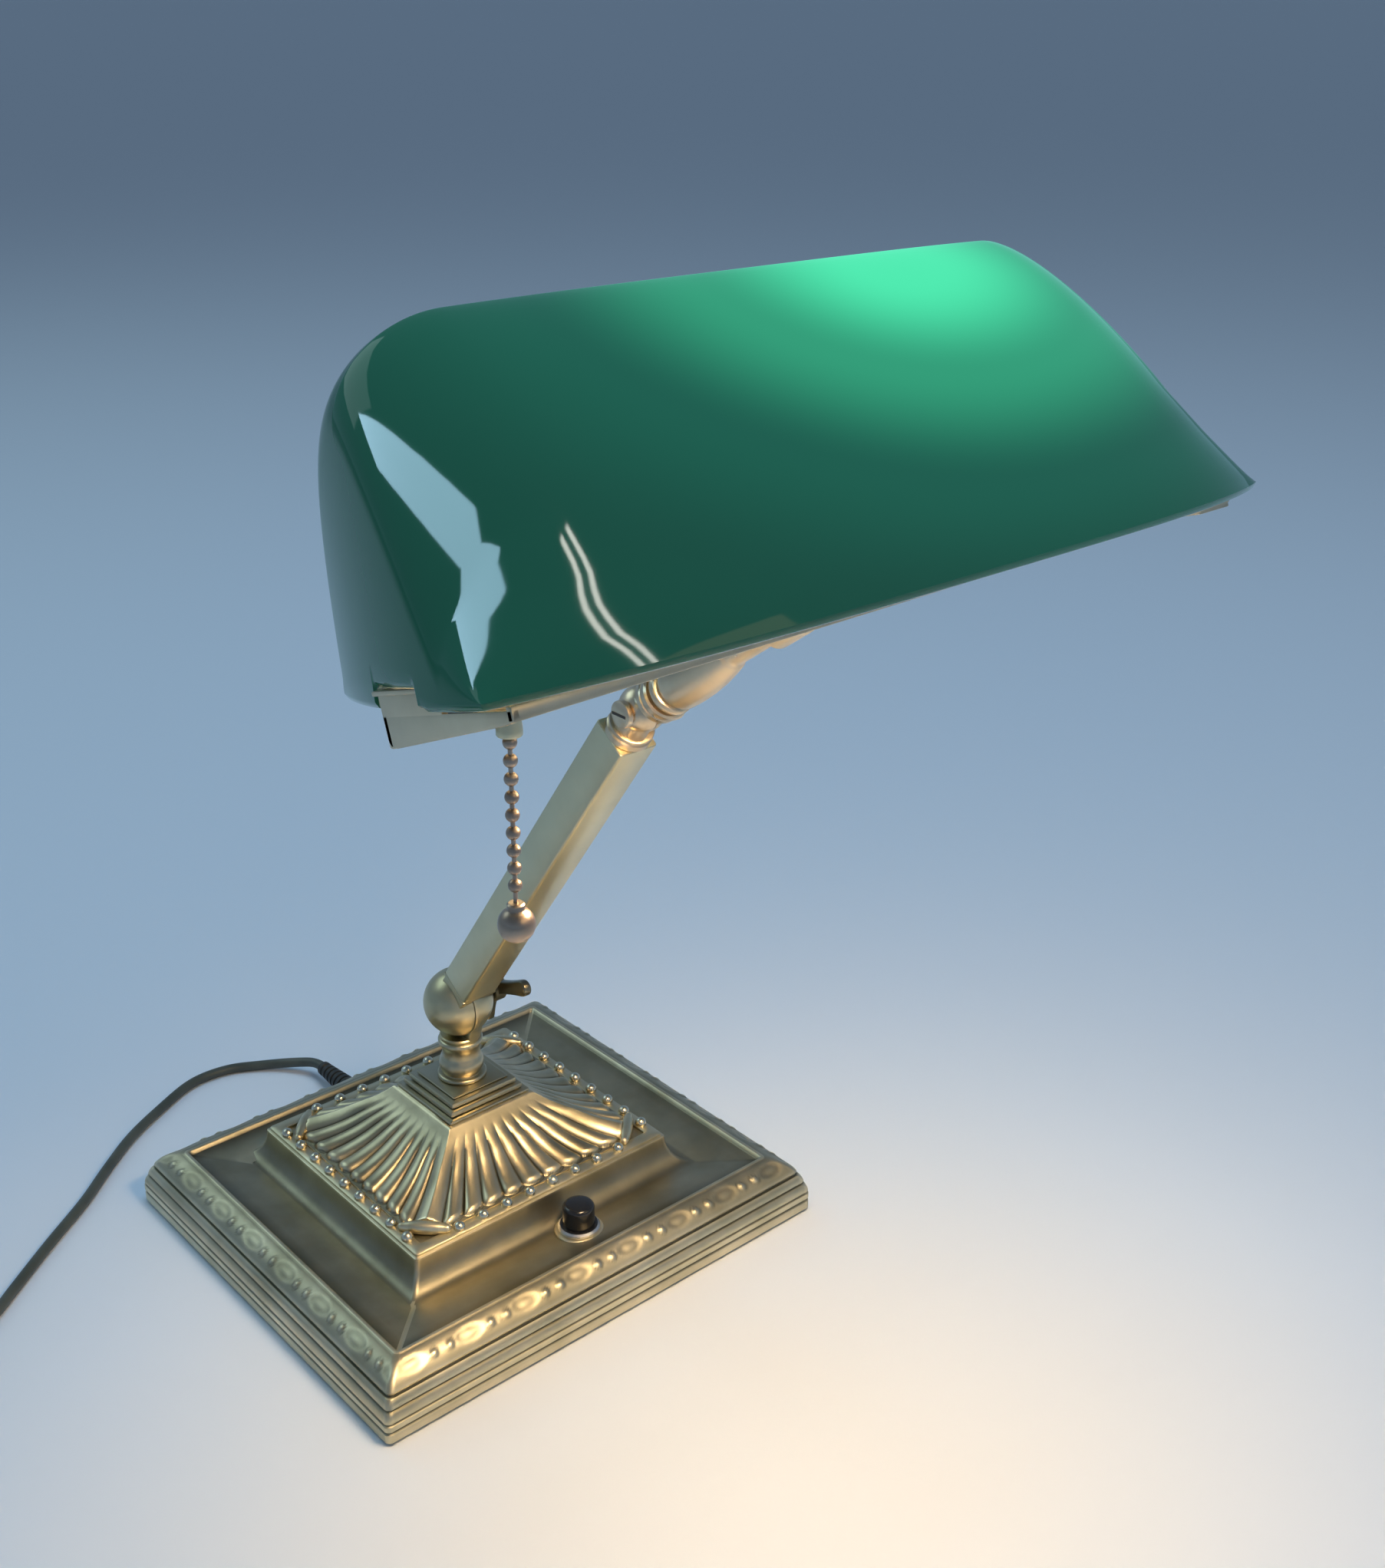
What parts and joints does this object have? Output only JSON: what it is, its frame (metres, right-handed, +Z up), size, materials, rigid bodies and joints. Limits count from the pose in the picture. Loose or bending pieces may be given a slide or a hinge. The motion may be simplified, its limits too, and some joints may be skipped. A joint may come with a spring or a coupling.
{
  "type": "bankers lamp",
  "caption": "Desk lamp with a square moulded brass base, a jointed square arm and a long tilting green glass shade with a pull chain.",
  "frame": {"origin": "centre of the base's underside, on the surface that the lamp stands on", "axes": "+Z up, -Y to the front where the push switch and the shade's lip are, +X to the right seen from the front"},
  "size_m": [0.331, 0.3392, 0.3081],
  "materials": {
    "antique_brass": "satin",
    "polished_brass": "satin",
    "chain_metal": "satin",
    "steel": "satin",
    "ballast_iron": "matte",
    "felt": "matte",
    "shade_glass": "gloss",
    "bulb_glass": "satin",
    "ceramic": "gloss",
    "black_plastic": "gloss",
    "pad_rubber": "matte",
    "cord_rubber": "satin",
    "lead_cover": "matte"
  },
  "bodies": {
    "base": {"felt_pad": "felt", "bottom_plate": "steel", "plate_screws": "steel", "base_casting": "antique_brass", "ballast_weight": "ballast_iron", "ballast_washer": "steel", "tube_nut": "polished_brass", "threaded_tube": "steel", "fluted_pyramid": "antique_brass", "bead_border": "antique_brass", "stepped_plinth": "antique_brass", "neck_column": "antique_brass", "lower_knuckle_post": "antique_brass", "switch_body": "black_plastic", "switch_ring_nut": "steel", "strain_relief": "pad_rubber", "cord_run": "cord_rubber", "cord_coil": "cord_rubber", "cord_tail": "cord_rubber", "cord_tie": "black_plastic", "plug_body": "black_plastic", "plug_pins": "steel"},
    "push_button": {"switch_button": "black_plastic"},
    "wing_screw": {"wing_screw": "antique_brass"},
    "arm": {"arm_lower_knuckle": "antique_brass", "arm_tube": "polished_brass", "arm_top_knuckle": "polished_brass", "arm_leads": "lead_cover", "upper_pivot_screw": "polished_brass"},
    "thumb_nut": {"upper_thumb_nut": "polished_brass"},
    "head": {"head_knuckle": "polished_brass", "head_stem": "polished_brass", "stem_nut": "polished_brass", "fitter_frame": "polished_brass", "shade_pads": "pad_rubber", "glass_shade": "shade_glass", "holder_bracket": "steel", "holder_nut": "polished_brass", "holder_cap": "polished_brass", "holder_shell": "polished_brass", "holder_core": "ceramic", "bulb_cap": "steel", "bulb_glass": "bulb_glass", "chain_bell": "polished_brass"},
    "chain": {"pull_chain": "chain_metal", "chain_ball": "chain_metal"}
  },
  "joints": [
    {"name": "arm_tilt", "type": "hinge", "parent": "base", "child": "arm", "pos_m": [0, 0.0045, 0.0742], "axis": [1, 0, 0], "range_deg": [-50, 35]},
    {"name": "head_tilt", "type": "hinge", "parent": "arm", "child": "head", "pos_m": [0, -0.08521, 0.19814], "axis": [1, 0, 0], "range_deg": [-40, 50]},
    {"name": "wing_screw_turn", "type": "hinge", "parent": "base", "child": "wing_screw", "pos_m": [0, 0.0045, 0.0742], "axis": [1, 0, 0], "range_deg": [0, 270]},
    {"name": "thumb_nut_turn", "type": "hinge", "parent": "arm", "child": "thumb_nut", "pos_m": [0, -0.08521, 0.19814], "axis": [1, 0, 0], "range_deg": [0, 270]},
    {"name": "chain_pull", "type": "slide", "parent": "head", "child": "chain", "axis": [0, 0, -1], "range_m": [0, 0.006], "stiffness_N_per_m": 800},
    {"name": "button_press", "type": "slide", "parent": "base", "child": "push_button", "axis": [0, 0, -1], "range_m": [0, 0.0025], "stiffness_N_per_m": 1500}
  ]
}
